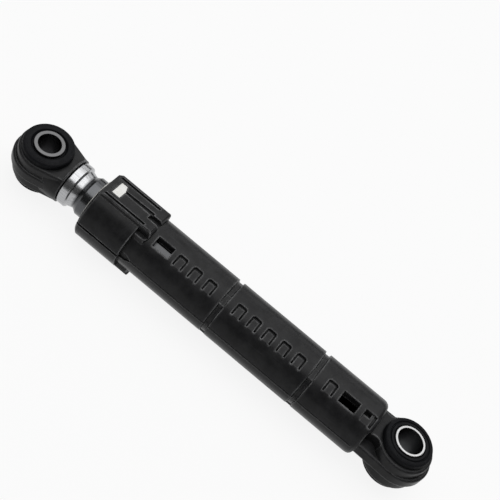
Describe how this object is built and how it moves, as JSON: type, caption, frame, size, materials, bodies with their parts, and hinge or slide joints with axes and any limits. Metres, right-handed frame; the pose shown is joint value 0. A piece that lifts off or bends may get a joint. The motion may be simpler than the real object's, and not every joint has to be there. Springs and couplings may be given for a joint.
{
  "type": "washing machine shock absorber",
  "caption": "Straight friction damper: a black moulded tube with windowed sides and a padded collar guides a plated steel rod, with a rubber-bushed eye at each end for a cross pin.",
  "frame": {"origin": "centre of the pin bore in the housing's eye", "axes": "+X along the damper to the rod's eye, +Z along the pin bore of the housing's eye"},
  "size_m": [0.2502, 0.0356, 0.0356],
  "materials": {
    "black_plastic": "satin moulded",
    "pale_plastic": "natural acetal",
    "lining_foam": "greased foam",
    "bush_rubber": "matte",
    "sleeve_steel": "turned",
    "rod_steel": "bright zinc plated"
  },
  "bodies": {
    "housing": {"housing": "black_plastic", "guide_bush": "pale_plastic", "friction_lining": "lining_foam", "lower_bush": "bush_rubber", "lower_sleeve": "sleeve_steel"},
    "slider": {"rod_guide": "pale_plastic"},
    "rod": {"rod_tube": "rod_steel", "upper_eye": "black_plastic", "upper_bush": "bush_rubber", "upper_sleeve": "sleeve_steel"}
  },
  "joints": [
    {"name": "stroke", "type": "slide", "parent": "housing", "child": "slider", "axis": [1, 0, 0], "range_m": [-0.01, 0.083]},
    {"name": "swivel", "type": "hinge", "parent": "slider", "child": "rod", "pos_m": [0.218, 0, 0], "axis": [1, 0, 0], "continuous": true}
  ]
}
